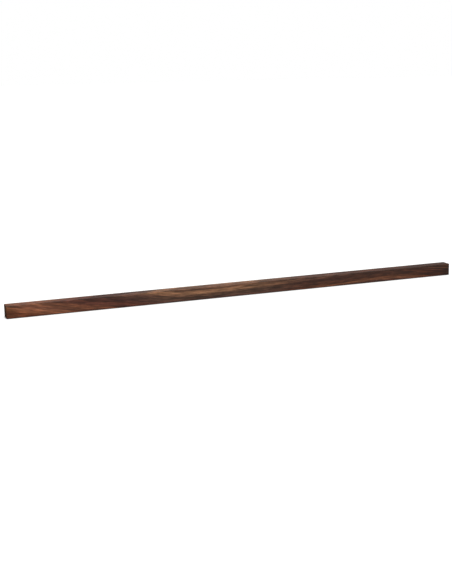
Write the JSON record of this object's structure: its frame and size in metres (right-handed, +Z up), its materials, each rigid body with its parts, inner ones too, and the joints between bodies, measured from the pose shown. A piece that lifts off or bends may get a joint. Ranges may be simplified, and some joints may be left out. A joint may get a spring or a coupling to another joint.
{
  "type": "grab rail",
  "caption": "Straight square-section hardwood grab rail with square-cut ends, bolted from behind through blind threaded inserts in its rear face.",
  "frame": {"origin": "middle of the underside", "axes": "+X along the rail, +Y out of the rear (fixing) face, so the front face looks towards -Y, +Z up"},
  "size_m": [1.5, 0.038, 0.038],
  "materials": {
    "rosewood": "satin oiled, dark streaked rosewood",
    "insert_brass": "machined, unlacquered"
  },
  "bodies": {
    "root": {"rail_bar": "rosewood", "threaded_insert_1": "insert_brass", "threaded_insert_2": "insert_brass", "threaded_insert_3": "insert_brass", "threaded_insert_4": "insert_brass", "threaded_insert_5": "insert_brass"}
  },
  "joints": []
}
